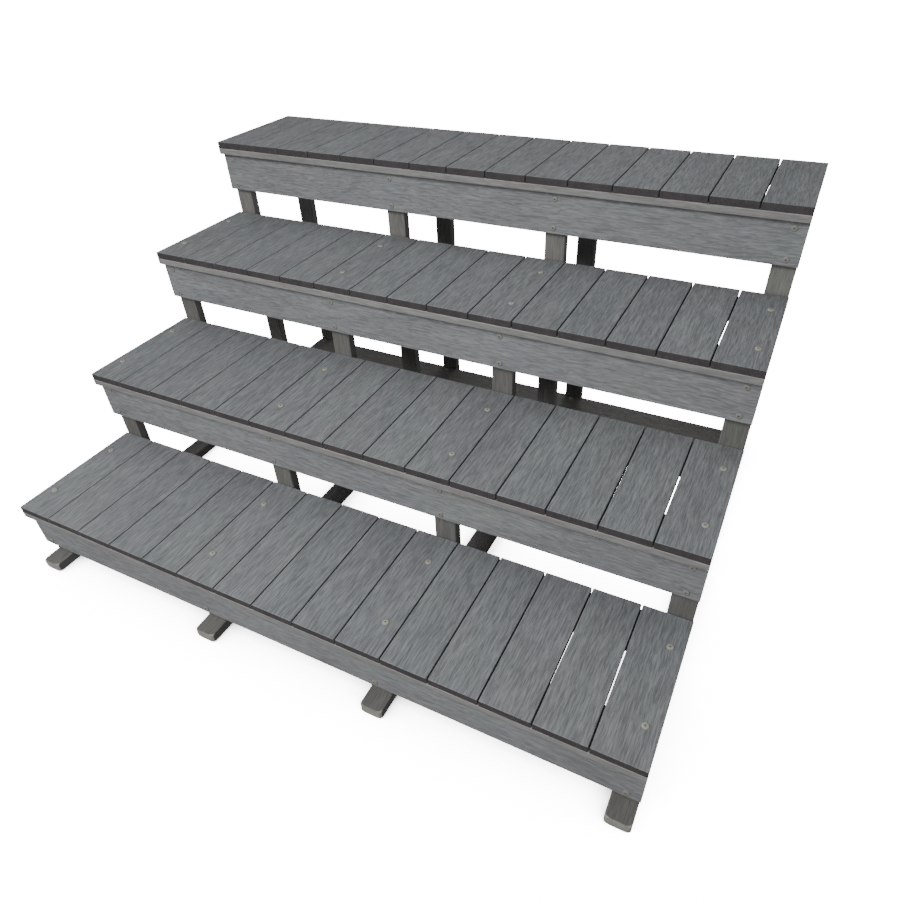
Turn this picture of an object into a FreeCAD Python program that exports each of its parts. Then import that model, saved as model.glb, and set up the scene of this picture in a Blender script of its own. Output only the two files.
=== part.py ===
import FreeCAD, Part
import os

# Four-tier spa steps of composite boards on four trestles of flat-laid stock.
# +X runs to the right along the treads, +Y from the lowest step to the highest, +Z up.
# The origin is the middle of the footprint, at floor level.  Millimetres.

SIZES = [
    ("board_count", 15, "boards side by side in every tread"),
    ("board_width", 138.5, "deck board, across"),
    ("board_gap", 4.5, "drainage gap between two boards"),
    ("board_thickness", 22.5, "deck board, through"),
    ("board_edge_radius", 1.5, "eased long edges of boards, cleats and fascias"),
    ("tread_depth", 470, "treads 1 to 3, front to back"),
    ("top_tread_depth", 446, "top tread, front to back"),
    ("first_height", 269, "floor to the top of tread 1"),
    ("rise", 282.5, "tread 1 to 2 and 2 to 3"),
    ("top_rise", 277, "tread 3 to the top tread"),
    ("back_clearance", 2, "back of treads 1 and 2 to the post behind"),
    ("top_back_clearance", 9.5, "back of tread 3 to the post behind"),
    ("cleat_width", 138.5, "full-width board under the tread's front and back"),
    ("cleat_thickness", 22, "full-width board under the tread, through"),
    ("fascia_height", 137, "board on edge under the front cleat"),
    ("fascia_thickness", 22.5, "board on edge, through"),
    ("fascia_setback", 20.5, "fascia behind the tread's front edge"),
    ("stock_width", 71, "frame stock, wide face"),
    ("stock_thickness", 35, "frame stock, narrow face"),
    ("stock_edge_radius", 2.5, "eased long edges of the frame stock"),
    ("trestle_end_inset", 3, "outer trestles in from the ends of the treads"),
    ("middle_bay", 624, "middle trestles, centre to centre"),
    ("runner_nose", 22, "runners ahead of the first tread"),
    ("corner_clip", 15.5, "clipped corners of the runners and the rail"),
    ("rail_width", 138.5, "flat board tying the runners at the back"),
    ("rail_thickness", 22.5, "flat board tying the runners at the back, through"),
    ("screw_radius", 2.5, "washer-head screw, shank"),
    ("screw_tip", 6, "pointed end of every screw"),
    ("head_radius", 9.5, "washer head, across half"),
    ("head_height", 3.2, "washer head, above the board"),
    ("head_rounding", 2.2, "washer head, rounded rim"),
    ("drive_radius", 3, "hexagon socket in the head, centre to corner"),
    ("drive_depth", 2, "hexagon socket in the head, deep"),
    ("tread_screw_length", 75, "tread screw, under the head"),
    ("tread_screw_inset", 110.5, "tread screws in from the tread's front and back"),
    ("facing_screw_length", 50, "fascia and rail screw, under the head"),
    ("fascia_screw_top", 24, "upper fascia screw below the fascia's top"),
    ("fascia_screw_bottom", 20, "lower fascia screw above the fascia's bottom"),
    ("rail_screw_setback", 28, "rail screws ahead of the rear posts"),
    ("wood_screw_radius", 2.25, "countersunk screw, shank"),
    ("wood_head_radius", 4.5, "countersunk screw, head"),
    ("wood_head_height", 3, "countersunk screw, head, deep"),
    ("frame_screw_length", 60, "countersunk screw between two pieces of stock"),
    ("frame_screw_spread", 36, "pair of frame screws, centre to centre"),
    ("board_screw_length", 38, "countersunk screw, cleat to board"),
    ("board_screw_spread", 90, "pair of board screws, centre to centre"),
    ("hole_clearance", 0.1, "holes over their screws, on the radius"),
]

# Places worked out from the sizes.  The reach is from a tread's front edge to the post behind its fascia.
PLACES = [
    ("pitch", "Sizes.board_width + Sizes.board_gap"),
    ("tread_width", "Sizes.board_count * Sizes.board_width + (Sizes.board_count - 1) * Sizes.board_gap"),
    ("left_end", "-Places.tread_width / 2"),
    ("reach", "Sizes.fascia_setback + Sizes.fascia_thickness"),
    ("run", "Sizes.tread_depth + Sizes.back_clearance - Places.reach"),
    ("top_run", "Sizes.tread_depth + Sizes.top_back_clearance - Places.reach"),
    ("depth", "Sizes.runner_nose + 2 * Places.run + Places.top_run + Sizes.top_tread_depth"),
    ("runner_front", "-Places.depth / 2"),
    ("front_1", "Places.runner_front + Sizes.runner_nose"),
    ("front_2", "Places.front_1 + Places.run"),
    ("front_3", "Places.front_2 + Places.run"),
    ("front_4", "Places.front_3 + Places.top_run"),
    ("back_4", "Places.front_4 + Sizes.top_tread_depth"),
    ("post_1", "Places.front_1 + Places.reach"),
    ("post_2", "Places.front_2 + Places.reach"),
    ("post_3", "Places.front_3 + Places.reach"),
    ("post_4", "Places.front_4 + Places.reach"),
    ("post_5", "Places.back_4 - Sizes.stock_thickness"),
    ("top_1", "Sizes.first_height"),
    ("top_2", "Places.top_1 + Sizes.rise"),
    ("top_3", "Places.top_2 + Sizes.rise"),
    ("top_4", "Places.top_3 + Sizes.top_rise"),
    ("under_1", "Places.top_1 - Sizes.board_thickness - Sizes.cleat_thickness"),
    ("under_2", "Places.top_2 - Sizes.board_thickness - Sizes.cleat_thickness"),
    ("under_3", "Places.top_3 - Sizes.board_thickness - Sizes.cleat_thickness"),
    ("under_4", "Places.top_4 - Sizes.board_thickness - Sizes.cleat_thickness"),
    ("trestle_a", "Places.left_end + Sizes.trestle_end_inset"),
    ("trestle_b", "-(Sizes.middle_bay + Sizes.stock_width) / 2"),
    ("trestle_c", "(Sizes.middle_bay - Sizes.stock_width) / 2"),
    ("trestle_d", "-Places.left_end - Sizes.trestle_end_inset - Sizes.stock_width"),
    ("centre", "Sizes.stock_width / 2"),
    ("half_thick", "Sizes.stock_thickness / 2"),
    ("frame_bite", "Sizes.frame_screw_length - Sizes.stock_thickness"),
    ("facing_bite", "Sizes.facing_screw_length - Sizes.fascia_thickness"),
    ("rail_bite", "Sizes.facing_screw_length - Sizes.rail_thickness"),
    ("tread_bite", "Sizes.tread_screw_length - Sizes.board_thickness - Sizes.cleat_thickness"),
    ("top_bite", "Sizes.frame_screw_length - Sizes.stock_thickness - Sizes.cleat_thickness"),
    ("board_bite", "Sizes.board_screw_length - Sizes.cleat_thickness"),
]

STEPS = (1, 2, 3, 4)
TOP_STEP = 4
TRESTLES = ("a", "b", "c", "d")
PAIR = (-1, 1)
UP, DOWN, FORWARD, BACKWARD = "up", "down", "forward", "backward"
# Turn about X, in degrees, that points a cylinder's or a screw head's +Z each way.
TURN = {UP: 0, DOWN: 180, FORWARD: 90, BACKWARD: -90}
X_AXIS = FreeCAD.Vector(1, 0, 0)

doc = FreeCAD.newDocument("spa_steps")
nodes = []


# ---------------------------------------------------------------- the sheet and the places

sheet = doc.addObject("Spreadsheet::Sheet", "Sizes")
for row, (alias, value, note) in enumerate(SIZES, start=1):
    sheet.set(f"A{row}", note)
    sheet.set(f"B{row}", str(value))
    sheet.setAlias(f"B{row}", alias)
doc.recompute()

places = doc.addObject("App::VarSet", "Places")
for name, formula in PLACES:
    places.addProperty("App::PropertyFloat", name, "Places", "worked out from the sizes")
    places.setExpression(name, formula)
doc.recompute()


# ---------------------------------------------------------------- helpers

def depth_of(step):
    return "Sizes.top_tread_depth" if step == TOP_STEP else "Sizes.tread_depth"


def spread(size, side):
    """Half a spacing to one side of a pair's middle."""
    return f"{side} * Sizes.{size} / 2"


def place(thing, x, y, z, way=UP):
    thing.Placement = FreeCAD.Placement(FreeCAD.Vector(), FreeCAD.Rotation(X_AXIS, TURN[way]))
    thing.setExpression("Placement.Base.x", x)
    thing.setExpression("Placement.Base.y", y)
    thing.setExpression("Placement.Base.z", z)


def bind(thing, **formulas):
    for name, formula in formulas.items():
        thing.setExpression(name, formula)


def edges_along(shape, direction):
    found = []
    for number, edge in enumerate(shape.Edges, start=1):
        if abs(edge.tangentAt(edge.FirstParameter).dot(direction)) > 0.99:
            found.append(f"Edge{number}")
    return found


def front_corners(shape, both_ends):
    """Upright edges at the front of a flat-laid bar, or at both its ends."""
    box = shape.BoundBox
    found = []
    for name in edges_along(shape, FreeCAD.Vector(0, 0, 1)):
        middle = shape.getElement(name).CenterOfMass
        if both_ends or middle.y < box.Center.y:
            found.append(name)
    return found


def bar(label, x, y, z, length, width, height, grain, radius, clip=None):
    """A bar with its lowest corner at x, y, z and its edges eased along the grain."""
    body = doc.addObject("PartDesign::Body", label)
    body.Label = label
    block = body.newObject("PartDesign::AdditiveBox", label + "_block")
    bind(block, Length=length, Width=width, Height=height)
    doc.recompute()
    last = block
    if clip:
        last = body.newObject("PartDesign::Chamfer", label + "_clip")
        last.Base = (block, front_corners(block.Shape, both_ends=clip == "both_ends"))
        bind(last, Size="Sizes.corner_clip")
        doc.recompute()
    ease = body.newObject("PartDesign::Fillet", label + "_ease")
    ease.Base = (last, edges_along(last.Shape, grain))
    bind(ease, Radius=f"Sizes.{radius}")
    place(body, x, y, z)
    nodes.append(body)
    return body


def hole(body, x, y, z, way, depth, radius="screw_radius"):
    """A plain hole from a point, running the given way into the body."""
    drill = body.newObject("PartDesign::SubtractiveCylinder", body.Label + "_hole")
    bind(drill, Radius=f"Sizes.{radius} + Sizes.hole_clearance", Height=depth)
    place(drill, x, y, z, way)
    return drill


def sunk_hole(body, x, y, z, way, depth):
    """A hole for a countersunk screw whose head is flush at the given point."""
    drill = hole(body, x, y, z, way, depth, "wood_screw_radius")
    sink = body.newObject("PartDesign::SubtractiveCone", body.Label + "_sink")
    bind(sink, Radius1="Sizes.wood_head_radius + Sizes.hole_clearance",
         Radius2="Sizes.wood_screw_radius + Sizes.hole_clearance", Height="Sizes.wood_head_height")
    place(sink, x, y, z, way)
    return [drill, sink]


def along_boards(body, originals, label):
    """The same holes under every board of the tread."""
    row = body.newObject("PartDesign::LinearPattern", label)
    if originals:
        row.Originals = originals
    else:
        row.TransformMode = "Whole shape"
    axis = [item for item in body.Origin.OriginFeatures if item.Role == "X_Axis"][0]
    row.Direction = (axis, [""])
    row.Mode = "Spacing"
    bind(row, Offset="Places.pitch", Occurrences="Sizes.board_count")
    body.Tip = row
    doc.recompute()


def tread_screw_spots(step):
    """Front and back screw lines, from the tread's front edge."""
    return ["Sizes.tread_screw_inset", f"{depth_of(step)} - Sizes.tread_screw_inset"]


def centre_of(trestle):
    return f"Places.trestle_{trestle} + Places.centre"


# ---------------------------------------------------------------- treads

def tread_boards(step):
    """A row of boards laid front to back, screwed from below through the cleats."""
    body = bar(f"step_{step}_boards", "Places.left_end", f"Places.front_{step}",
               f"Places.top_{step} - Sizes.board_thickness",
               "Sizes.board_width", depth_of(step), "Sizes.board_thickness",
               FreeCAD.Vector(0, 1, 0), "board_edge_radius")
    for y in ("Sizes.cleat_width / 2", f"{depth_of(step)} - Sizes.cleat_width / 2"):
        for side in PAIR:
            x = "Sizes.board_width / 2 + " + spread("board_screw_spread", side)
            hole(body, x, y, "0", UP, "Places.board_bite", "wood_screw_radius")
    along_boards(body, None, body.Label + "_row")
    for trestle in TRESTLES:
        x = centre_of(trestle) + " - Places.left_end"
        for y in tread_screw_spots(step):
            if step == TOP_STEP:
                hole(body, x, y, "0", UP, "Places.top_bite", "wood_screw_radius")
            else:
                hole(body, x, y, "0", UP, "Sizes.board_thickness")


def cleat(step, name, y):
    """A full-width board laid flat under one edge of the tread."""
    body = bar(f"step_{step}_{name}_cleat", "Places.left_end", y, f"Places.under_{step}",
               "Places.tread_width", "Sizes.cleat_width", "Sizes.cleat_thickness",
               FreeCAD.Vector(1, 0, 0), "board_edge_radius")
    under_boards = []
    for side in PAIR:
        x = "Sizes.board_width / 2 + " + spread("board_screw_spread", side)
        under_boards += sunk_hole(body, x, "Sizes.cleat_width / 2", "0", UP, "Sizes.cleat_thickness")
    doc.recompute()
    along_boards(body, under_boards, body.Label + "_row")
    radius = "wood_screw_radius" if step == TOP_STEP else "screw_radius"
    spot = {"front": "Sizes.tread_screw_inset", "back": "Sizes.cleat_width - Sizes.tread_screw_inset"}[name]
    for trestle in TRESTLES:
        hole(body, centre_of(trestle) + " - Places.left_end", spot, "0", UP,
             "Sizes.cleat_thickness", radius)


def fascia(step):
    """A board on edge under the front cleat, facing the posts."""
    body = bar(f"step_{step}_fascia", "Places.left_end", f"Places.front_{step} + Sizes.fascia_setback",
               f"Places.under_{step} - Sizes.fascia_height",
               "Places.tread_width", "Sizes.fascia_thickness", "Sizes.fascia_height",
               FreeCAD.Vector(1, 0, 0), "board_edge_radius")
    for trestle in TRESTLES:
        for z in ("Sizes.fascia_screw_bottom", "Sizes.fascia_height - Sizes.fascia_screw_top"):
            hole(body, centre_of(trestle) + " - Places.left_end", "0", z, BACKWARD,
                 "Sizes.fascia_thickness")


# ---------------------------------------------------------------- trestles

def runner(trestle):
    """Stock laid flat on the floor, front to back, that the posts stand on."""
    body = bar(f"trestle_{trestle}_runner", f"Places.trestle_{trestle}", "Places.runner_front", "0",
               "Sizes.stock_width", "Places.depth", "Sizes.stock_thickness",
               FreeCAD.Vector(0, 1, 0), "stock_edge_radius", clip="front")
    for post in range(1, 6):
        y = f"Places.post_{post} - Places.runner_front + Places.half_thick"
        for side in PAIR:
            sunk_hole(body, "Places.centre + " + spread("frame_screw_spread", side), y, "0", UP,
                      "Sizes.stock_thickness")
    hole(body, "Places.centre", "Places.post_5 - Sizes.rail_screw_setback - Places.runner_front",
         "Sizes.stock_thickness", DOWN, "Places.rail_bite")


def post(trestle, number):
    """Stock on end, wide face to the front.  Post 5 is the rear post."""
    rear = number == TOP_STEP + 1
    step = TOP_STEP if rear else number
    label = f"trestle_{trestle}_rear_post" if rear else f"trestle_{trestle}_post_{number}"
    tall = f"(Places.under_{step} - 2 * Sizes.stock_thickness)"
    body = bar(label, f"Places.trestle_{trestle}", f"Places.post_{number}", "Sizes.stock_thickness",
               "Sizes.stock_width", "Sizes.stock_thickness", tall,
               FreeCAD.Vector(0, 0, 1), "stock_edge_radius")
    for side in PAIR:
        x = "Places.centre + " + spread("frame_screw_spread", side)
        hole(body, x, "Places.half_thick", "0", UP, "Places.frame_bite", "wood_screw_radius")
        hole(body, x, "Places.half_thick", tall, DOWN, "Places.frame_bite", "wood_screw_radius")
        if number > 1 and not rear:
            level = f"Places.under_{number - 1} - 1.5 * Sizes.stock_thickness"
            sunk_hole(body, x, "Sizes.stock_thickness", level, FORWARD, "Sizes.stock_thickness")
    if not rear:
        level = (f"Places.under_{step} - Sizes.fascia_height + Sizes.fascia_screw_bottom"
                 " - Sizes.stock_thickness")
        hole(body, "Places.centre", "0", level, BACKWARD, "Places.facing_bite")


def bearer(trestle, step):
    """Stock laid flat under the cleats, from the step's post to the next one."""
    long = f"(Places.post_{step + 1} - Places.post_{step})"
    if step == TOP_STEP:
        long = "(Places.back_4 - Places.post_4)"
    body = bar(f"trestle_{trestle}_bearer_{step}", f"Places.trestle_{trestle}", f"Places.post_{step}",
               f"Places.under_{step} - Sizes.stock_thickness",
               "Sizes.stock_width", long, "Sizes.stock_thickness",
               FreeCAD.Vector(0, 1, 0), "stock_edge_radius")
    for side in PAIR:
        x = "Places.centre + " + spread("frame_screw_spread", side)
        sunk_hole(body, x, "Places.half_thick", "Sizes.stock_thickness", DOWN, "Sizes.stock_thickness")
        if step == TOP_STEP:
            sunk_hole(body, x, long + " - Places.half_thick", "Sizes.stock_thickness", DOWN,
                      "Sizes.stock_thickness")
        else:
            hole(body, x, long, "Places.half_thick", FORWARD, "Places.frame_bite", "wood_screw_radius")
    hole(body, "Places.centre", "0", "Sizes.stock_thickness - Sizes.fascia_screw_top", BACKWARD,
         "Places.facing_bite")
    for spot in tread_screw_spots(step):
        y = spot + " - Places.reach"
        if step == TOP_STEP:
            sunk_hole(body, "Places.centre", y, "0", UP, "Sizes.stock_thickness")
        else:
            hole(body, "Places.centre", y, "Sizes.stock_thickness", DOWN, "Places.tread_bite")


def rear_rail():
    """A flat board across the runners, in front of the rear posts."""
    body = bar("rear_rail", "Places.trestle_a", "Places.post_5 - Sizes.rail_width",
               "Sizes.stock_thickness",
               "Places.trestle_d - Places.trestle_a + Sizes.stock_width", "Sizes.rail_width",
               "Sizes.rail_thickness", FreeCAD.Vector(1, 0, 0), "board_edge_radius", clip="both_ends")
    for trestle in TRESTLES:
        hole(body, centre_of(trestle) + " - Places.trestle_a",
             "Sizes.rail_width - Sizes.rail_screw_setback", "0", UP, "Sizes.rail_thickness")


# ---------------------------------------------------------------- screws
# Every pattern screw has its head's seat at the origin and its shank pointing down.

def shank(body, radius, length):
    stem = body.newObject("PartDesign::AdditiveCylinder", body.Label + "_stem")
    bind(stem, Radius=f"Sizes.{radius}", Height=f"Sizes.{length} - Sizes.screw_tip")
    place(stem, "0", "0", f"Sizes.screw_tip - Sizes.{length}")
    tip = body.newObject("PartDesign::AdditiveCone", body.Label + "_tip")
    bind(tip, Radius1=f"Sizes.{radius} / 5", Radius2=f"Sizes.{radius}", Height="Sizes.screw_tip")
    place(tip, "0", "0", f"-Sizes.{length}")


def washer_head_screw(label, length):
    body = doc.addObject("PartDesign::Body", label)
    body.Label = label
    head = body.newObject("PartDesign::AdditiveCylinder", label + "_head")
    bind(head, Radius="Sizes.head_radius", Height="Sizes.head_height")
    doc.recompute()
    rim = body.newObject("PartDesign::Fillet", label + "_rim")
    rings = [f"Edge{n}" for n, edge in enumerate(head.Shape.Edges, start=1)
             if edge.Closed and edge.CenterOfMass.z > head.Height.Value / 2]
    rim.Base = (head, rings)
    bind(rim, Radius="Sizes.head_rounding")
    socket = body.newObject("PartDesign::SubtractivePrism", label + "_socket")
    bind(socket, Circumradius="Sizes.drive_radius", Height="Sizes.drive_depth")
    place(socket, "0", "0", "Sizes.head_height - Sizes.drive_depth")
    shank(body, "screw_radius", length)
    doc.recompute()
    return body


def countersunk_screw(label, length):
    body = doc.addObject("PartDesign::Body", label)
    body.Label = label
    head = body.newObject("PartDesign::AdditiveCone", label + "_head")
    bind(head, Radius1="Sizes.wood_screw_radius", Radius2="Sizes.wood_head_radius",
         Height="Sizes.wood_head_height")
    place(head, "0", "0", "-Sizes.wood_head_height")
    shank(body, "wood_screw_radius", length)
    doc.recompute()
    return body


def screw_group(label, spots):
    """One node of separate screws.  A spot is a pattern screw, x, y, z and the way its head faces."""
    links = []
    for number, (pattern, x, y, z, way) in enumerate(spots, start=1):
        link = doc.addObject("App::Link", f"{label}_{number}")
        link.LinkedObject = pattern
        place(link, x, y, z, way)
        links.append(link)
    group = doc.addObject("Part::Compound", label)
    group.Label = label
    group.Links = links
    nodes.append(group)


def tread_screw_list(pattern):
    spots = []
    for step in STEPS[:-1]:
        for trestle in TRESTLES:
            for y in tread_screw_spots(step):
                spots.append((pattern, centre_of(trestle), f"Places.front_{step} + {y}",
                              f"Places.top_{step}", UP))
    return spots


def facing_screw_list(pattern):
    spots = []
    for trestle in TRESTLES:
        for step in STEPS:
            y = f"Places.front_{step} + Sizes.fascia_setback"
            upper = f"Places.under_{step} - Sizes.fascia_screw_top"
            lower = f"Places.under_{step} - Sizes.fascia_height + Sizes.fascia_screw_bottom"
            spots.append((pattern, centre_of(trestle), y, upper, FORWARD))
            spots.append((pattern, centre_of(trestle), y, lower, FORWARD))
        spots.append((pattern, centre_of(trestle), "Places.post_5 - Sizes.rail_screw_setback",
                      "Sizes.stock_thickness + Sizes.rail_thickness", UP))
    return spots


def frame_screw_list(pattern):
    spots = []
    for trestle in TRESTLES:
        for side in PAIR:
            x = centre_of(trestle) + " + " + spread("frame_screw_spread", side)
            for number in range(1, 6):
                spots.append((pattern, x, f"Places.post_{number} + Places.half_thick", "0", DOWN))
            for step in STEPS:
                spots.append((pattern, x, f"Places.post_{step} + Places.half_thick",
                              f"Places.under_{step}", UP))
            spots.append((pattern, x, "Places.post_5 + Places.half_thick", "Places.under_4", UP))
            for step in STEPS[:-1]:
                spots.append((pattern, x, f"Places.post_{step + 1} + Sizes.stock_thickness",
                              f"Places.under_{step} - Places.half_thick", BACKWARD))
        for y in tread_screw_spots(TOP_STEP):
            spots.append((pattern, centre_of(trestle), f"Places.front_4 + {y}",
                          "Places.under_4 - Sizes.stock_thickness", DOWN))
    return spots


def board_screw_list(pattern):
    spots = []
    for step in STEPS:
        for y in ("Sizes.cleat_width / 2", f"{depth_of(step)} - Sizes.cleat_width / 2"):
            for number in range(int(sheet.board_count)):
                for side in PAIR:
                    x = (f"Places.left_end + {number} * Places.pitch + Sizes.board_width / 2 + "
                         + spread("board_screw_spread", side))
                    spots.append((pattern, x, f"Places.front_{step} + {y}", f"Places.under_{step}", DOWN))
    return spots


# ---------------------------------------------------------------- the assembly

for step in STEPS:
    tread_boards(step)
    cleat(step, "front", f"Places.front_{step}")
    cleat(step, "back", f"Places.front_{step} + {depth_of(step)} - Sizes.cleat_width")
    fascia(step)

for trestle in TRESTLES:
    runner(trestle)
    for number in range(1, 6):
        post(trestle, number)
    for step in STEPS:
        bearer(trestle, step)

rear_rail()

tread_screw = washer_head_screw("tread_screw", "tread_screw_length")
facing_screw = washer_head_screw("facing_screw", "facing_screw_length")
frame_screw = countersunk_screw("frame_screw", "frame_screw_length")
board_screw = countersunk_screw("board_screw", "board_screw_length")
screw_group("tread_screws", tread_screw_list(tread_screw))
screw_group("facing_screws", facing_screw_list(facing_screw))
screw_group("countersunk_screws", frame_screw_list(frame_screw) + board_screw_list(board_screw))

doc.recompute()


# ---------------------------------------------------------------- checks and files

failed = [item.Name for item in doc.Objects if "Invalid" in item.State or "Error" in item.State]
if failed:
    raise RuntimeError("objects that did not compute: " + ", ".join(failed))
for node in nodes:
    if node.Shape.isNull() or not node.Shape.isValid():
        raise RuntimeError("no valid shape: " + node.Label)

os.makedirs("parts", exist_ok=True)
for node in nodes:
    node.Shape.exportStep(f"parts/{node.Label}.step")

box = Part.makeCompound([node.Shape for node in nodes]).BoundBox
print(f"{len(nodes)} nodes, {sum(len(node.Shape.Solids) for node in nodes)} solids")
print(f"size {box.XLength:.1f} x {box.YLength:.1f} x {box.ZLength:.1f} mm,"
      f" from {box.XMin:.1f}, {box.YMin:.1f}, {box.ZMin:.1f}")
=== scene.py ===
import math
import random

import bpy
from bpy.props import FloatProperty, FloatVectorProperty, IntProperty, PointerProperty
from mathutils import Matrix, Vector


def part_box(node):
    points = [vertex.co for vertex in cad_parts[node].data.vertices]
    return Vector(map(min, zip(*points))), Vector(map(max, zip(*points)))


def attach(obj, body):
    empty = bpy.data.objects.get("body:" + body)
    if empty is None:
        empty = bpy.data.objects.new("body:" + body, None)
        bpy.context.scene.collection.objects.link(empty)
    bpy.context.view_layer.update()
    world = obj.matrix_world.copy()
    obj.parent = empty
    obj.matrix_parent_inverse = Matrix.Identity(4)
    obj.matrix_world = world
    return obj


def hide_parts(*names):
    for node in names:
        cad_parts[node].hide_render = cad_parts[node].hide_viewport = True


bl_info = {
    "name": "Spa Steps",
    "version": (1, 0, 0),
    "blender": (4, 5, 0),
    "location": "View3D > Sidebar > Spa Steps",
    "description": "Models the boards, stock and screws of free-standing spa steps round their frame",
    "category": "Mesh",
}

# Everything is in metres, in the frame's own axes: +X right along the treads, +Y to the back, +Z up.
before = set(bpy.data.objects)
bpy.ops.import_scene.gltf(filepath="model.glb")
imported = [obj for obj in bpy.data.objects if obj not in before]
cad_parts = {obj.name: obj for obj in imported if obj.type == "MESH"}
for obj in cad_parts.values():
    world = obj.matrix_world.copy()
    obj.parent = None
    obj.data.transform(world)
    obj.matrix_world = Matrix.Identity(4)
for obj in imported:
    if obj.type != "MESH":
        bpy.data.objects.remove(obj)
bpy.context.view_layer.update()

BODY = "root"
STEPS = (1, 2, 3, 4)
TRESTLES = ("a", "b", "c", "d")
X, Y, Z = 0, 1, 2
AXIS = (Vector((1, 0, 0)), Vector((0, 1, 0)), Vector((0, 0, 1)))
NEAR = 1e-5
SURFACE, CUT = 0, 1
FACETS = 24
SMOOTH_BELOW = math.radians(35)

MOSS_TINT = (0.975, 1.0, 0.950)
# Colour the screw heads darken towards in the socket and at the seat.
HEAD_DARKENING = (0.050, 0.047, 0.042)
TONE_SPREAD = 0.03
# Painted light: the top posts' colour is raised to stand for the extra light they catch.
TOP_POST_PAINTED_LIGHT = 1.3

WHITE = (1.0, 1.0, 1.0, 1.0)
FLOOR_DROP = 0.0006
FLOOR_WIDTH = 200.0
FLOOR_PAINT = (0.8, 0.8, 0.8, 1.0)
FLOOR_BOUNCE = (0.25, 0.25, 0.25, 1.0)
CONTACT_REACH = 0.6
CONTACT_GLOW = 0.02
BACKDROP_GLOW = 16.0
STUDIO_LIGHT = 0.36
EYE = Vector((1.0718, -1.7129, 1.7870))


# ---------------------------------------------------------------- sizes and colours

class SpaStepsSizes(bpy.types.PropertyGroup):
    """Sizes of the boards, the stock and the screw heads"""

    board_count: IntProperty(name="Boards", description="Boards in a tread", default=15, min=1)
    board_gap: FloatProperty(name="Board gap", description="Gap between two boards", default=0.0045,
                             unit="LENGTH")
    board_edge: FloatProperty(name="Board edge", description="Radius of a board's long edges", default=0.0015,
                              unit="LENGTH")
    board_creep: FloatProperty(name="Board creep", description="How far a board may sit back from the line",
                               default=0.0007, unit="LENGTH")
    stock_edge: FloatProperty(name="Stock edge", description="Radius of the frame stock's long edges",
                              default=0.0028, unit="LENGTH")
    saw_arris: FloatProperty(name="Saw arris", description="Broken edge round a saw cut", default=0.0010,
                             unit="LENGTH")
    wear_width: FloatProperty(name="Worn margin", description="How far wear reaches in from an edge",
                              default=0.005, unit="LENGTH")
    corner_clip: FloatProperty(name="Clipped corner", description="Clipped corners of runners and rail",
                               default=0.0155, unit="LENGTH")
    head_radius: FloatProperty(name="Screw head", description="Radius of a washer head", default=0.0095,
                               unit="LENGTH")
    head_height: FloatProperty(name="Head height", description="Washer head above the board", default=0.0032,
                               unit="LENGTH")
    flange_drop: FloatProperty(name="Flange drop", description="Fall of the head from its button to its rim",
                               default=0.0010, unit="LENGTH")
    button_radius: FloatProperty(name="Button", description="Radius of the head's raised middle",
                                 default=0.0056, unit="LENGTH")
    rim_rounding: FloatProperty(name="Rim rounding", description="Rounded edge of the flange", default=0.0008,
                                unit="LENGTH")
    socket_radius: FloatProperty(name="Socket", description="Radius of the drive socket", default=0.003,
                                 unit="LENGTH")
    socket_depth: FloatProperty(name="Socket depth", description="Depth of the drive socket", default=0.002,
                                unit="LENGTH")
    shank_radius: FloatProperty(name="Shank", description="Radius of a screw's shank", default=0.0025,
                                unit="LENGTH")
    tread_screw: FloatProperty(name="Tread screw", description="Length under the head", default=0.075,
                               unit="LENGTH")
    facing_screw: FloatProperty(name="Facing screw", description="Length under the head", default=0.050,
                                unit="LENGTH")
    tread_inset: FloatProperty(name="Tread inset", description="Tread screws in from the front and the back",
                               default=0.1105, unit="LENGTH")
    fascia_top: FloatProperty(name="Upper fascia screw", description="Below the fascia's top", default=0.024,
                              unit="LENGTH")
    fascia_bottom: FloatProperty(name="Lower fascia screw", description="Above the fascia's bottom",
                                 default=0.020, unit="LENGTH")
    rail_setback: FloatProperty(name="Rail screw", description="Ahead of the rear posts", default=0.028,
                                unit="LENGTH")


def colour(name, description, red, green, blue):
    return FloatVectorProperty(name=name, description=description, default=(red, green, blue),
                               subtype="COLOR", min=0, max=1)


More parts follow.
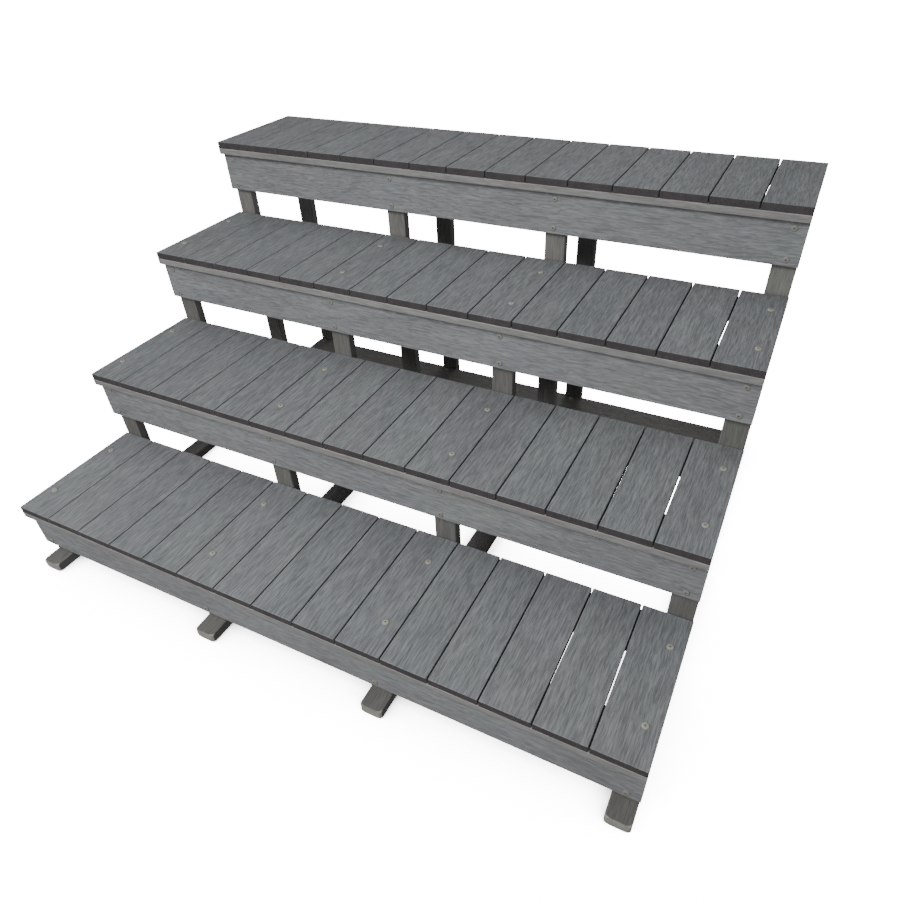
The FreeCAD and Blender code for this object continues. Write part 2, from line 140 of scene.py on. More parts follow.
class SpaStepsColours(bpy.types.PropertyGroup):
    """Colours of the composite and the screws"""

    board_light: colour("Board, light grain", "Raised grain of the tread boards", 0.200, 0.212, 0.219)
    board_dark: colour("Board, dark grain", "Hollows of the grain of the tread boards", 0.102, 0.108, 0.114)
    board_warm: colour("Board, warm tint", "Tint of the warm patches on the tread boards", 1.0, 0.955, 0.975)
    # Painted light: both fascia grain colours are the composite's own grain made lighter than the tread
    # boards' to stand for the light on the front faces.
    fascia_light: colour("Fascia, light grain", "Raised grain of the fascias", 0.236, 0.246, 0.254)
    fascia_dark: colour("Fascia, dark grain", "Hollows of the grain of the fascias", 0.138, 0.144, 0.151)
    fascia_warm: colour("Fascia, warm tint", "Tint of the warm patches on the fascias", 1.0, 0.965, 0.970)
    cleat_light: colour("Cleat, light grain", "Raised grain under the treads", 0.240, 0.240, 0.236)
    cleat_dark: colour("Cleat, dark grain", "Hollows of the grain under the treads", 0.160, 0.159, 0.156)
    core: colour("Board core", "Sawn ends of the boards", 0.037, 0.032, 0.035)
    stock_light: colour("Stock, light grain", "Raised grain of the frame stock", 0.138, 0.136, 0.131)
    stock_dark: colour("Stock, dark grain", "Hollows of the grain of the frame stock", 0.092, 0.090, 0.087)
    stock_warm: colour("Stock, warm tint", "Tint of the warm patches on the frame stock", 1.0, 0.98, 0.95)
    stock_cut: colour("Stock, cut", "Sawn ends of the frame stock", 0.235, 0.238, 0.212)
    tread_cap: colour("Tread screws", "Coated heads of the tread screws", 0.300, 0.300, 0.250)
    facing_cap: colour("Facing screws", "Coated heads of the fascia and rail screws", 0.215, 0.210, 0.190)
    plating: colour("Plating", "Plated countersunk screws", 0.420, 0.400, 0.340)


def sizes():
    return bpy.context.scene.spa_steps_sizes


def colours():
    return bpy.context.scene.spa_steps_colours


# ---------------------------------------------------------------- node helpers

def node(tree, kind, inputs=None, **settings):
    """Adds a node. An input is a plain value, or another node's output to link."""
    made = tree.nodes.new(kind)
    for name, value in settings.items():
        setattr(made, name, value)
    for name, value in (inputs or {}).items():
        if isinstance(value, bpy.types.NodeSocket):
            tree.links.new(value, made.inputs[name])
        else:
            made.inputs[name].default_value = value
    return made


def maths(tree, operation, first, second=0.0):
    return node(tree, "ShaderNodeMath", {0: first, 1: second}, operation=operation).outputs[0]


def vectors(tree, operation, first, second):
    return node(tree, "ShaderNodeVectorMath", {0: first, 1: second}, operation=operation).outputs[0]


def noise(tree, place, scale, detail=3.0, roughness=0.55, distortion=0.0):
    """Noise stretched by a scale of its own along each axis, from 0 to 1."""
    stretched = vectors(tree, "MULTIPLY", place, scale)
    return node(tree, "ShaderNodeTexNoise", {"Vector": stretched, "Scale": 1.0, "Detail": detail,
                "Roughness": roughness, "Distortion": distortion}).outputs["Fac"]


def ramp(tree, value, low, high, to_low=0.0, to_high=1.0):
    """Smooth step of a value between two limits."""
    return node(tree, "ShaderNodeMapRange", {"Value": value, "From Min": low, "From Max": high,
                "To Min": to_low, "To Max": to_high}, interpolation_type="SMOOTHSTEP").outputs["Result"]


def blend(tree, share, first, second, mode="MIX"):
    """Mix of two colours."""
    mixed = node(tree, "ShaderNodeMix", data_type="RGBA", blend_type=mode)
    for name, value in (("Factor_Float", share), ("A_Color", first), ("B_Color", second)):
        socket = next(s for s in mixed.inputs if s.identifier == name)
        if isinstance(value, bpy.types.NodeSocket):
            tree.links.new(value, socket)
        elif name == "Factor_Float":
            socket.default_value = value
        else:
            socket.default_value = (*value, 1.0)
    return next(s for s in mixed.outputs if s.identifier == "Result_Color")


def along(grain, length_scale, cross_scale):
    """A scale for each axis: one along the grain, one across it."""
    return tuple(length_scale if axis == grain else cross_scale for axis in (X, Y, Z))


def new_material(name):
    material = bpy.data.materials.new(name)
    material.use_nodes = True
    tree = material.node_tree
    tree.nodes.clear()
    return material, tree


def finish_material(tree, base, roughness, height, depth, strength, specular=0.4):
    """Closes a material with a bump from a height and the shader's own plain values."""
    bump = node(tree, "ShaderNodeBump", {"Strength": strength, "Distance": depth, "Height": height})
    shader = node(tree, "ShaderNodeBsdfPrincipled", {"Base Color": base, "Roughness": roughness,
                  "Normal": bump.outputs[0], "Specular IOR Level": specular, "IOR": 1.5})
    node(tree, "ShaderNodeOutputMaterial", {"Surface": shader.outputs[0]})


def scaled(tree, base, level):
    """A colour times a number."""
    product = node(tree, "ShaderNodeVectorMath", {0: base}, operation="SCALE")
    tree.links.new(level, product.inputs["Scale"])
    return product.outputs[0]


def own_place(tree):
    """Where a point is, moved by the piece's own shift, so that no two pieces share their grain."""
    place = node(tree, "ShaderNodeTexCoord").outputs["Object"]
    shift = node(tree, "ShaderNodeAttribute", attribute_name="grain_shift").outputs["Vector"]
    return vectors(tree, "ADD", place, shift)


# Each piece's own tone: a random spread, and on the top posts painted light.
def own_tone_and_painted_light(tree):
    return node(tree, "ShaderNodeAttribute", attribute_name="piece_tone").outputs["Fac"]


# ---------------------------------------------------------------- finishes

def composite(name, grain, light, dark, warm, sway, streak, emboss):
    """Wood-plastic composite with an embossed grain along one axis.

    sway is how far the grain wanders, streak its width and emboss the depth of its hollows.
    """
    material, tree = new_material(name)
    place = own_place(tree)
    slow = vectors(tree, "MULTIPLY", place, along(grain, 7.0, 20.0))
    wander = node(tree, "ShaderNodeTexNoise", {"Vector": slow, "Scale": 1.0, "Detail": 2.0}).outputs["Color"]
    wander = vectors(tree, "SUBTRACT", wander, (0.5, 0.5, 0.5))
    wander = vectors(tree, "MULTIPLY", wander, along(grain, 0.0, sway))
    grainwise = vectors(tree, "ADD", place, wander)

    broad = noise(tree, grainwise, along(grain, 3.5, 0.12 / streak), 3.0, 0.5)
    middle = noise(tree, grainwise, along(grain, 9.0, 0.55 / streak), 3.0, 0.55)
    fine = noise(tree, grainwise, along(grain, 16.0, 1.0 / streak), 4.0, 0.6)
    hair = noise(tree, grainwise, along(grain, 30.0, 2.3 / streak), 2.0, 0.6)
    raised = maths(tree, "ADD", maths(tree, "MULTIPLY", fine, 0.55), maths(tree, "MULTIPLY", hair, 0.45))
    grain_tone = ramp(tree, raised, 0.37, 0.63)
    base = blend(tree, grain_tone, dark, light)

    patches = noise(tree, place, along(grain, 2.6, 8.0), 3.0, 0.6)
    base = blend(tree, ramp(tree, patches, 0.40, 0.66), base, warm, "MULTIPLY")
    cloud = noise(tree, vectors(tree, "ADD", place, (7.3, 2.9, 4.1)), along(grain, 3.0, 5.0), 3.0)
    base = blend(tree, ramp(tree, cloud, 0.48, 0.70), base, MOSS_TINT, "MULTIPLY")
    level = maths(tree, "MULTIPLY", ramp(tree, broad, 0.30, 0.70, 0.94, 1.06),
                  ramp(tree, cloud, 0.3, 0.7, 0.95, 1.05))
    level = maths(tree, "MULTIPLY", level, ramp(tree, middle, 0.36, 0.64, 0.935, 1.065))
    base = scaled(tree, base, maths(tree, "MULTIPLY", level, own_tone_and_painted_light(tree)))

    rub = noise(tree, place, along(grain, 40.0, 150.0), 3.0, 0.7)
    edge = node(tree, "ShaderNodeAttribute", attribute_name="edge_wear").outputs["Fac"]
    worn = maths(tree, "MULTIPLY", ramp(tree, edge, 0.35, 1.0), ramp(tree, rub, 0.42, 0.62))
    base = blend(tree, maths(tree, "MULTIPLY", worn, 0.25), base, tuple(1.5 * part for part in light))

    roughness = ramp(tree, raised, 0.30, 0.70, 0.78, 0.54)
    height = maths(tree, "ADD", maths(tree, "MULTIPLY", grain_tone, 0.8), maths(tree, "MULTIPLY", broad, 0.5))
    finish_material(tree, base, roughness, height, emboss, 0.7)
    return material


def sawn(name, tone, fleck, depth):
    """A sawn end: fine saw marks across the cut, chips and pale fibre flecks."""
    material, tree = new_material(name)
    place = own_place(tree)
    marks = noise(tree, place, (900.0, 900.0, 90.0), 2.0, 0.5)
    crumbs = noise(tree, place, (420.0, 420.0, 420.0), 4.0, 0.7)
    cloud = noise(tree, place, (28.0, 28.0, 28.0), 3.0)
    base = blend(tree, ramp(tree, crumbs, 0.35, 0.75, 0.0, 0.8), tone, fleck)
    level = maths(tree, "MULTIPLY", ramp(tree, cloud, 0.3, 0.7, 0.88, 1.12), own_tone_and_painted_light(tree))
    base = scaled(tree, base, level)
    height = maths(tree, "ADD", maths(tree, "MULTIPLY", marks, 0.5), maths(tree, "MULTIPLY", crumbs, 0.5))
    finish_material(tree, base, ramp(tree, crumbs, 0.3, 0.7, 0.9, 0.7), height, depth, 0.6, 0.25)
    return material


def coated_metal(name, tone, sheen_roughness):
    """Coated screw head: slightly uneven paint, darker in the socket and towards the seat."""
    material, tree = new_material(name)
    place = node(tree, "ShaderNodeTexCoord").outputs["Object"]
    speck = noise(tree, place, (900.0, 900.0, 900.0), 3.0, 0.6)
    cloud = noise(tree, place, (160.0, 160.0, 160.0), 3.0)
    # Darker in the socket and towards the seat.
    head_darkening = node(tree, "ShaderNodeAttribute", attribute_name="edge_wear").outputs["Fac"]
    base = blend(tree, ramp(tree, cloud, 0.3, 0.7, 0.0, 0.4), tone, tuple(0.72 * part for part in tone))
    base = blend(tree, maths(tree, "MULTIPLY", head_darkening, 0.75), base, HEAD_DARKENING)
    finish_material(tree, base, ramp(tree, speck, 0.3, 0.7, sheen_roughness, sheen_roughness + 0.2), speck,
                    0.0002, 0.4, 0.5)
    return material


def plated_metal(name, tone):
    """Plated steel of the countersunk screws: brushed, with dull patches."""
    material, tree = new_material(name)
    place = node(tree, "ShaderNodeTexCoord").outputs["Object"]
    brushed = noise(tree, place, (1400.0, 1400.0, 300.0), 3.0, 0.6)
    dull = noise(tree, place, (220.0, 220.0, 220.0), 3.0)
    base = blend(tree, ramp(tree, dull, 0.35, 0.7), tone, tuple(0.6 * part for part in tone))
    bump = node(tree, "ShaderNodeBump", {"Strength": 0.4, "Distance": 0.0002, "Height": brushed})
    shader = node(tree, "ShaderNodeBsdfPrincipled", {"Base Color": base, "Metallic": 1.0,
                  "Roughness": ramp(tree, dull, 0.3, 0.7, 0.32, 0.55), "Normal": bump.outputs[0]})
    node(tree, "ShaderNodeOutputMaterial", {"Surface": shader.outputs[0]})
    return material


def finish_for(kind, grain):
    """The surface and the sawn material of a kind of bar, made once for each grain direction."""
    c = colours()
    name = f"{kind}_{'xyz'[grain]}"
    recipes = {
        "tread_board": (c.board_light, c.board_dark, c.board_warm, 0.008, 0.0038, 0.00040),
        # The fascia colours carry painted light on the front faces.
        "fascia_board": (c.fascia_light, c.fascia_dark, c.fascia_warm, 0.024, 0.0046, 0.00045),
        "cleat_board": (c.cleat_light, c.cleat_dark, c.fascia_warm, 0.010, 0.0042, 0.00030),
        "frame_stock": (c.stock_light, c.stock_dark, c.stock_warm, 0.004, 0.0030, 0.00025),
    }
    cuts = {"frame_stock": (c.stock_cut, (0.32, 0.31, 0.28), 0.0004)}
    surface = bpy.data.materials.get(name)
    if surface is None:
        light, dark, warm, sway, streak, emboss = recipes[kind]
        surface = composite(name, grain, tuple(light), tuple(dark), tuple(warm), sway, streak, emboss)
    cut = bpy.data.materials.get(name + "_cut")
    if cut is None:
        tone, fleck, depth = cuts.get(kind, (c.core, (0.085, 0.076, 0.078), 0.0003))
        cut = sawn(name + "_cut", tuple(tone), tuple(fleck), depth)
    return surface, cut


# ---------------------------------------------------------------- modelling helpers

def deselect():
    if bpy.context.object and bpy.context.object.mode != "OBJECT":
        bpy.ops.object.mode_set(mode="OBJECT")
    bpy.ops.object.select_all(action="DESELECT")


def make_active(piece):
    deselect()
    piece.select_set(True)
    bpy.context.view_layer.objects.active = piece


def pick(piece, kind, test):
    """Selects the faces, edges or vertices of a piece that pass a test, and opens it in edit mode."""
    make_active(piece)
    mesh = piece.data
    for group in (mesh.vertices, mesh.edges, mesh.polygons):
        group.foreach_set("select", [False] * len(group))
    found = 0
    for item in getattr(mesh, kind):
        if test(mesh, item):
            item.select = True
            found += 1
    if not found:
        raise RuntimeError(f"nothing to select on {piece.name}")
    mode = {"polygons": "FACE", "edges": "EDGE", "vertices": "VERT"}[kind]
    bpy.ops.object.mode_set(mode="EDIT")
    bpy.ops.mesh.select_mode(type=mode)


def ends_of(mesh, edge):
    return (mesh.vertices[index].co for index in edge.vertices)


def block(name, low, high):
    """A block between two corners, its place kept in its mesh."""
    deselect()
    low, high = Vector(low), Vector(high)
    bpy.ops.mesh.primitive_cube_add(size=1.0, location=(low + high) / 2)
    piece = bpy.context.object
    piece.scale = high - low
    piece.name = name
    piece.data.name = name
    bpy.ops.object.transform_apply(location=True, rotation=True, scale=True)
    return piece


def saw_bar(name, low, high, grain, radius, clip=None):
    """A bar sawn from stock: eased long edges, a fine arris round both sawn ends, and a worn margin.

    clip names the sawn end, or both, whose upright corners are clipped.
    """
    low, high = Vector(low), Vector(high)
    piece = block(name, low, high)
    s = sizes()
    pick(piece, "polygons", lambda mesh, face: abs(face.normal[grain]) < 0.5)
    bpy.ops.mesh.inset(thickness=s.wear_width, use_even_offset=True, use_individual=True)
    bpy.ops.object.mode_set(mode="OBJECT")

    def on_box(mesh, edge, along_axis):
        first, second = ends_of(mesh, edge)
        if (second - first).normalized().cross(AXIS[along_axis]).length > 0.01:
            return False
        others = [axis for axis in (X, Y, Z) if axis != along_axis]
        return all(min(abs(first[axis] - low[axis]), abs(first[axis] - high[axis])) < NEAR for axis in others)

    if clip:
        def clipped(mesh, edge):
            first, _ = ends_of(mesh, edge)
            at_end = abs(first[grain] - low[grain]) < NEAR
            if clip == "both":
                at_end = at_end or abs(first[grain] - high[grain]) < NEAR
            return at_end and on_box(mesh, edge, Z)
        pick(piece, "edges", clipped)
        bpy.ops.mesh.bevel(offset=s.corner_clip, segments=1, affect="EDGES")
        bpy.ops.object.mode_set(mode="OBJECT")

    def long_edge(mesh, edge):
        first, second = ends_of(mesh, edge)
        return (second - first).length > (high - low)[grain] / 2 and on_box(mesh, edge, grain)

    pick(piece, "edges", long_edge)
    bpy.ops.mesh.bevel(offset=radius, segments=3, profile=0.5, affect="EDGES")
    bpy.ops.object.mode_set(mode="OBJECT")

    def end_rim(mesh, edge):
        first, second = ends_of(mesh, edge)
        level = any(max(abs(first[grain] - end), abs(second[grain] - end)) < NEAR
                    for end in (low[grain], high[grain]))
        middle = (first + second) / 2
        rim = any(min(middle[axis] - low[axis], high[axis] - middle[axis]) < 0.5 * s.wear_width
                  for axis in (X, Y, Z) if axis != grain)
        return level and rim

    pick(piece, "edges", end_rim)
    bpy.ops.mesh.bevel(offset=s.saw_arris, segments=2, profile=0.5, affect="EDGES")
    bpy.ops.object.mode_set(mode="OBJECT")
    return piece


def mark(piece, low, high, seed, tone_and_painted_light):
    """Writes what the finishes read: wear near the edges, a grain shift of its own, and a tone of its own,
    which on the top posts carries painted light.
    """
    s = sizes()
    mesh = piece.data
    pick_random = random.Random(seed)
    shift = [pick_random.uniform(0.0, 40.0) for _ in (X, Y, Z)]
    # The tone carries the piece's random spread and, on the top posts, painted light.
    tone = tone_and_painted_light * (1.0 + pick_random.uniform(-TONE_SPREAD, TONE_SPREAD))
    wear, shifts = [], []
    for vertex in mesh.vertices:
        near = [min(vertex.co[axis] - low[axis], high[axis] - vertex.co[axis]) < 0.9 * s.wear_width
                for axis in (X, Y, Z)]
        wear.append(1.0 if sum(near) >= 2 else 0.0)
        shifts.extend(shift)
    mesh.attributes.new("edge_wear", "FLOAT", "POINT").data.foreach_set("value", wear)
    mesh.attributes.new("piece_tone", "FLOAT", "POINT").data.foreach_set("value", [tone] * len(mesh.vertices))
    mesh.attributes.new("grain_shift", "FLOAT_VECTOR", "POINT").data.foreach_set("vector", shifts)


def dress(piece, kind, grain, low, high, seed, tone_and_painted_light=1.0):
    """Gives a bar its finish, with sawn faces wherever the surface turns across the grain."""
    mark(piece, low, high, seed, tone_and_painted_light)
    mesh = piece.data
    for material in finish_for(kind, grain):
        mesh.materials.append(material)
    for face in mesh.polygons:
        face.material_index = CUT if abs(face.normal[grain]) > 0.5 else SURFACE
    make_active(piece)
    bpy.ops.object.shade_smooth_by_angle(angle=SMOOTH_BELOW)


def install(piece, slot, *nodes):
    """The finished piece stands for its nodes and moves with the frame."""
    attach(piece, BODY)
    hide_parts(*nodes)


def bar_for(node_name, piece_name, kind, grain, radius, seed, clip=None, tone_and_painted_light=1.0):
    """One bar in the place of one node."""
    low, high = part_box(node_name)
    piece = saw_bar(piece_name, low, high, grain, radius, clip)
    dress(piece, kind, grain, low, high, seed, tone_and_painted_light)
    install(piece, kind, node_name)
    return piece


def join(pieces, name):
    """Joins pieces into one, under a name."""
    make_active(pieces[0])
    for piece in pieces:
        piece.select_set(True)
    if len(pieces) > 1:
        bpy.ops.object.join()
    joined = bpy.context.object
    joined.name = name
    joined.data.name = name
    return joined


# ---------------------------------------------------------------- operators

class SPASTEPS_OT_tread_boards(bpy.types.Operator):
    """Lays the short boards of the four treads, each with its own grain"""

    bl_idname = "spa_steps.tread_boards"
    bl_label = "Tread Boards"

    def execute(self, context):
        s = sizes()
        for step in STEPS:
            low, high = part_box(f"step_{step}_boards")
            width = (high.x - low.x - (s.board_count - 1) * s.board_gap) / s.board_count
            lay = random.Random(step)
            boards = []
            for number in range(s.board_count):
                left = low.x + number * (width + s.board_gap)
                front = low.y + lay.uniform(0.0, s.board_creep)
                back = high.y - lay.uniform(0.0, s.board_creep)
                corner, far = Vector((left, front, low.z)), Vector((left + width, back, high.z))
                board = saw_bar(f"tread_{step}_board_{number}", corner, far, Y, s.board_edge)
                dress(board, "tread_board", Y, corner, far, 100 * step + number)
                boards.append(board)
            tread = join(boards, f"tread_{step}")
            install(tread, "tread_board", f"step_{step}_boards")
        return {"FINISHED"}


class SPASTEPS_OT_cleats(bpy.types.Operator):
    """Lays the full-width boards under the front and the back of each tread"""

    bl_idname = "spa_steps.cleats"
    bl_label = "Cleats"

    def execute(self, context):
        for step in STEPS:
            for number, side in enumerate(("front", "back")):
                bar_for(f"step_{step}_{side}_cleat", f"{side}_cleat_{step}", "cleat_board", X,
                        sizes().board_edge, 500 + 10 * step + number)
        return {"FINISHED"}


class SPASTEPS_OT_fascias(bpy.types.Operator):
    """Stands the full-width boards on edge under the front of each tread"""

    bl_idname = "spa_steps.fascias"
    bl_label = "Fascias"

    def execute(self, context):
        for step in STEPS:
            bar_for(f"step_{step}_fascia", f"fascia_{step}", "fascia_board", X,
                    sizes().board_edge, 600 + step)
        return {"FINISHED"}


class SPASTEPS_OT_trestles(bpy.types.Operator):
    """Builds the runners, posts and bearers of the four trestles"""

    bl_idname = "spa_steps.trestles"
    bl_label = "Trestles"

    def execute(self, context):
        radius = sizes().stock_edge
        for order, trestle in enumerate(TRESTLES):
            seed = 700 + 20 * order
            bar_for(f"trestle_{trestle}_runner", f"runner_{trestle}", "frame_stock", Y, radius, seed, "front")
            for step in STEPS:
                # The top posts are made lighter: painted light.
                bar_for(f"trestle_{trestle}_post_{step}", f"post_{trestle}_{step}", "frame_stock", Z, radius,
                        seed + step, tone_and_painted_light=TOP_POST_PAINTED_LIGHT if step == STEPS[-1] else 1.0)
                bar_for(f"trestle_{trestle}_bearer_{step}", f"bearer_{trestle}_{step}", "frame_stock", Y,
                        radius, seed + 5 + step)
            bar_for(f"trestle_{trestle}_rear_post", f"rear_post_{trestle}", "frame_stock", Z,
                    radius, seed + 10)
        return {"FINISHED"}


class SPASTEPS_OT_rear_rail(bpy.types.Operator):
    """Lays the flat rail that ties the runners at the back"""

    bl_idname = "spa_steps.rear_rail"
    bl_label = "Rear Rail"

    def execute(self, context):
        bar_for("rear_rail", "tie_rail", "frame_stock", X, sizes().board_edge, 800, "both")
        return {"FINISHED"}


def washer_screw(name, length):
    """A screw with its head's seat at the origin: a sloped flange, a raised button and a hexagon socket."""
    s = sizes()
    top = s.head_height
    deselect()
    bpy.ops.mesh.primitive_cylinder_add(vertices=FACETS, radius=s.head_radius, depth=top,
                                        location=(0.0, 0.0, top / 2))
    head = bpy.context.object
    bpy.ops.object.transform_apply(location=True, rotation=True, scale=True)

    def at_top(mesh, face):
        return face.center.z > top - NEAR and len(face.vertices) == FACETS

    pick(head, "polygons", at_top)
    bpy.ops.mesh.inset(thickness=s.head_radius - s.button_radius)
    bpy.ops.mesh.inset(thickness=s.button_radius - s.socket_radius)
    bpy.ops.object.mode_set(mode="OBJECT")
    pick(head, "polygons", at_top)
    bpy.ops.mesh.extrude_region_move(TRANSFORM_OT_translate={"value": (0.0, 0.0, -s.socket_depth)})
    bpy.ops.object.mode_set(mode="OBJECT")

    def outside_button(mesh, point):
        return point.co.z > top - NEAR and point.co.xy.length > s.button_radius + NEAR

    pick(head, "vertices", outside_button)
    bpy.ops.transform.translate(value=(0.0, 0.0, -s.flange_drop))
    bpy.ops.object.mode_set(mode="OBJECT")

    def rim(mesh, edge):
        return all(point.z > NEAR and point.xy.length > s.head_radius - NEAR for point in ends_of(mesh, edge))

    pick(head, "edges", rim)
    bpy.ops.mesh.bevel(offset=s.rim_rounding, segments=2, affect="EDGES")
    bpy.ops.object.mode_set(mode="OBJECT")

    # A hexagon's sides come nearer to its middle than its corners: the points between the corners move in.
    def on_socket(point, from_corner):
        turn = math.degrees(math.atan2(point.co.y, point.co.x)) % 60
        off = min(abs(turn - from_corner), abs(turn - (60 - from_corner)))
        return off < 1 and NEAR < point.co.xy.length < 1.1 * s.socket_radius and point.co.z > NEAR

    for from_corner in (15, 30):
        side = math.cos(math.radians(30)) / math.cos(math.radians(30 - from_corner))
        pick(head, "vertices", lambda mesh, point, angle=from_corner: on_socket(point, angle))
        bpy.ops.transform.resize(value=(side, side, 1.0), center_override=(0.0, 0.0, 0.0))
        bpy.ops.object.mode_set(mode="OBJECT")

    tip_length = 2.4 * s.shank_radius
    deselect()
    bpy.ops.mesh.primitive_cylinder_add(vertices=FACETS // 2, radius=s.shank_radius,
                                        depth=length - tip_length,
                                        location=(0.0, 0.0, (tip_length - length) / 2))
    shank = bpy.context.object
    bpy.ops.mesh.primitive_cone_add(vertices=FACETS // 2, radius1=s.shank_radius / 5, radius2=s.shank_radius,
                                    depth=tip_length, location=(0.0, 0.0, tip_length / 2 - length))
    tip = bpy.context.object
    screw = join([head, shank, tip], name)
    # Mask: full in the socket, half at and below the seat.
    head_darkening = [1.0 if NEAR < point.co.z < top - NEAR and point.co.xy.length < 1.1 * s.socket_radius else
             0.5 if point.co.z < NEAR else 0.0 for point in screw.data.vertices]
    screw.data.attributes.new("edge_wear", "FLOAT", "POINT").data.foreach_set("value", head_darkening)
    make_active(screw)
    bpy.ops.object.shade_smooth_by_angle(angle=SMOOTH_BELOW)
    return screw


def drive(pattern, name, spots, material):
    """A copy of a screw at every spot, joined. A spot is a place and a turn about X."""
    pattern.data.materials.append(material)
    copies = []
    for place, turn in spots:
        make_active(pattern)
        bpy.ops.object.duplicate(linked=False)
        copy = bpy.context.object
        copy.location = place
        copy.rotation_euler = (turn, 0.0, 0.0)
        bpy.ops.object.transform_apply(location=True, rotation=True, scale=True)
        copies.append(copy)
    make_active(pattern)
    bpy.ops.object.delete()
    return join(copies, name)


def middle_of(trestle):
    low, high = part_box(f"trestle_{trestle}_runner")
    return (low.x + high.x) / 2


class SPASTEPS_OT_screws(bpy.types.Operator):
    """Drives the washer-head screws and plates the countersunk ones"""

    bl_idname = "spa_steps.screws"
    bl_label = "Screws"

    def execute(self, context):
        s, c = sizes(), colours()
        upright, forward = 0.0, math.radians(90)
        tread_spots, facing_spots = [], []
        for trestle in TRESTLES:
            x = middle_of(trestle)
            for step in STEPS[:-1]:
                low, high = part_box(f"step_{step}_boards")
                for y in (low.y + s.tread_inset, high.y - s.tread_inset):
                    tread_spots.append(((x, y, high.z), upright))
            for step in STEPS:
                low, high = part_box(f"step_{step}_fascia")
                for z in (high.z - s.fascia_top, low.z + s.fascia_bottom):
                    facing_spots.append(((x, low.y, z), forward))
            low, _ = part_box(f"trestle_{trestle}_rear_post")
            _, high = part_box("rear_rail")
            facing_spots.append(((x, low.y - s.rail_setback, high.z), upright))

        treads = drive(washer_screw("tread_screw", s.tread_screw), "tread_screw_set", tread_spots,
                       coated_metal("tread_screw", tuple(c.tread_cap), 0.42))
        install(treads, "capped_screw", "tread_screws")
        facings = drive(washer_screw("facing_screw", s.facing_screw), "facing_screw_set", facing_spots,
                        coated_metal("facing_screw", tuple(c.facing_cap), 0.42))
        install(facings, "capped_screw", "facing_screws")

        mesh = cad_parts["countersunk_screws"].data
        mesh.materials.clear()
        mesh.materials.append(plated_metal("plated_screw", tuple(c.plating)))
        return {"FINISHED"}


class SPASTEPS_OT_stage(bpy.types.Operator):
    """Sets up the floor, the soft lights and the camera"""

    bl_idname = "spa_steps.stage"
    bl_label = "Stage"

    def execute(self, context):
        deselect()
        bpy.ops.mesh.primitive_plane_add(size=FLOOR_WIDTH, location=(0.0, 0.0, -FLOOR_DROP))
        floor = bpy.context.object
        floor.name = "floor"
        # Camera rays see white ground with a soft contact shade, found from the geometry alone. Other rays
        # see it darker, so that the ground does not light the steps from below.
        material, tree = new_material("floor")
        seen = node(tree, "ShaderNodeLightPath").outputs["Is Camera Ray"]
        plain = node(tree, "ShaderNodeBsdfDiffuse", {"Color": FLOOR_BOUNCE})
        shown = node(tree, "ShaderNodeBsdfDiffuse", {"Color": FLOOR_PAINT})
        contact = node(tree, "ShaderNodeAmbientOcclusion", {"Distance": CONTACT_REACH}, samples=8)
        strength = ramp(tree, contact.outputs["AO"], 0.15, 0.75, CONTACT_GLOW, BACKDROP_GLOW)
        glow = node(tree, "ShaderNodeEmission", {"Color": WHITE, "Strength": strength})
        pale = node(tree, "ShaderNodeAddShader", {0: shown.outputs[0], 1: glow.outputs[0]})
        mixed = node(tree, "ShaderNodeMixShader", {"Fac": seen, 1: plain.outputs[0], 2: pale.outputs[0]})
        node(tree, "ShaderNodeOutputMaterial", {"Surface": mixed.outputs[0]})
        floor.data.materials.append(material)

        world = bpy.data.worlds.new("studio")
        world.use_nodes = True
        bpy.context.scene.world = world
        tree = world.node_tree
        tree.nodes.clear()
        seen = node(tree, "ShaderNodeLightPath").outputs["Is Camera Ray"]
        strength = node(tree, "ShaderNodeMapRange", {"Value": seen, "To Min": STUDIO_LIGHT,
                        "To Max": BACKDROP_GLOW})
        back = node(tree, "ShaderNodeBackground", {"Color": WHITE,
                    "Strength": strength.outputs["Result"]})
        node(tree, "ShaderNodeOutputWorld", {"Surface": back.outputs[0]})

        soft_light("key", (-0.65, -3.1, 3.6), (0.0, 0.0, 0.5), 1.5, 162.0)
        soft_light("top", (-0.2, 0.4, 3.4), (-0.1, 0.2, 0.8), 1.6, 12.0)
        soft_light("fill", (0.2, -4.0, 2.0), (0.0, 0.0, 0.6), 2.5, 42.0)
        soft_light("back fill", (-0.3, 5.0, 0.8), (0.0, 0.0, 0.5), 1.2, 45.0)
        soft_light("left fill", (-5.0, 0.8, 0.5), (0.0, 0.0, 0.4), 0.9, 30.0)
        soft_light("right fill", (5.0, 0.8, 0.5), (0.0, 0.0, 0.4), 0.9, 22.0)
        place_camera()
        return {"FINISHED"}


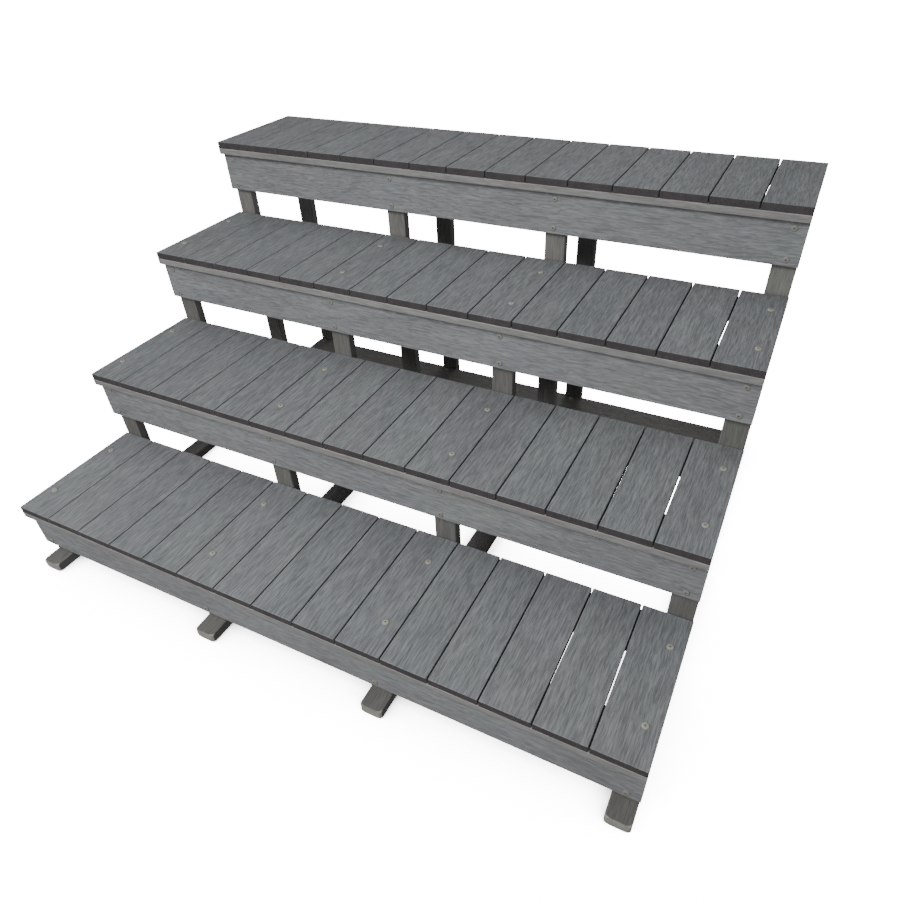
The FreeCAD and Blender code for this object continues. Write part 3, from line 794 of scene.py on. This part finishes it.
def soft_light(name, place, aim, size, power):
    light = bpy.data.lights.new(name, "AREA")
    light.shape = "DISK"
    light.size = size
    light.energy = power
    lamp = bpy.data.objects.new(name, light)
    bpy.context.scene.collection.objects.link(lamp)
    lamp.location = place
    lamp.rotation_euler = (Vector(aim) - Vector(place)).to_track_quat("-Z", "Y").to_euler()


def place_camera():
    """Eye height in front of the right end, looking down and to the left along the steps."""
    lens = bpy.data.cameras.new("camera")
    lens.sensor_width = 36.0
    lens.lens = 27.56
    lens.shift_x = -0.0036
    lens.shift_y = 0.0263
    camera = bpy.data.objects.new("camera", lens)
    bpy.context.scene.collection.objects.link(camera)
    camera.location = EYE
    camera.rotation_euler = [math.radians(angle) for angle in (50.442, 2.124, 26.820)]
    bpy.context.scene.camera = camera


class SPASTEPS_PT_panel(bpy.types.Panel):
    """Lists the pieces of the spa steps"""

    bl_idname = "SPASTEPS_PT_panel"
    bl_label = "Spa Steps"
    bl_space_type = "VIEW_3D"
    bl_region_type = "UI"
    bl_category = "Spa Steps"

    def draw(self, context):
        column = self.layout.column(align=True)
        for operator in OPERATORS:
            column.operator(operator.bl_idname)
        for name in SpaStepsSizes.__annotations__:
            self.layout.prop(context.scene.spa_steps_sizes, name)
        for name in SpaStepsColours.__annotations__:
            self.layout.prop(context.scene.spa_steps_colours, name)


OPERATORS = (
    SPASTEPS_OT_stage,
    SPASTEPS_OT_tread_boards,
    SPASTEPS_OT_cleats,
    SPASTEPS_OT_fascias,
    SPASTEPS_OT_trestles,
    SPASTEPS_OT_rear_rail,
    SPASTEPS_OT_screws,
)
CLASSES = (SpaStepsSizes, SpaStepsColours, *OPERATORS, SPASTEPS_PT_panel)


def register():
    for cls in CLASSES:
        bpy.utils.register_class(cls)
    bpy.types.Scene.spa_steps_sizes = PointerProperty(type=SpaStepsSizes)
    bpy.types.Scene.spa_steps_colours = PointerProperty(type=SpaStepsColours)


def unregister():
    del bpy.types.Scene.spa_steps_colours
    del bpy.types.Scene.spa_steps_sizes
    for cls in reversed(CLASSES):
        bpy.utils.unregister_class(cls)


def main():
    register()
    for operator in OPERATORS:
        category, name = operator.bl_idname.split(".")
        getattr(getattr(bpy.ops, category), name)()


if __name__ == "__main__":
    main()
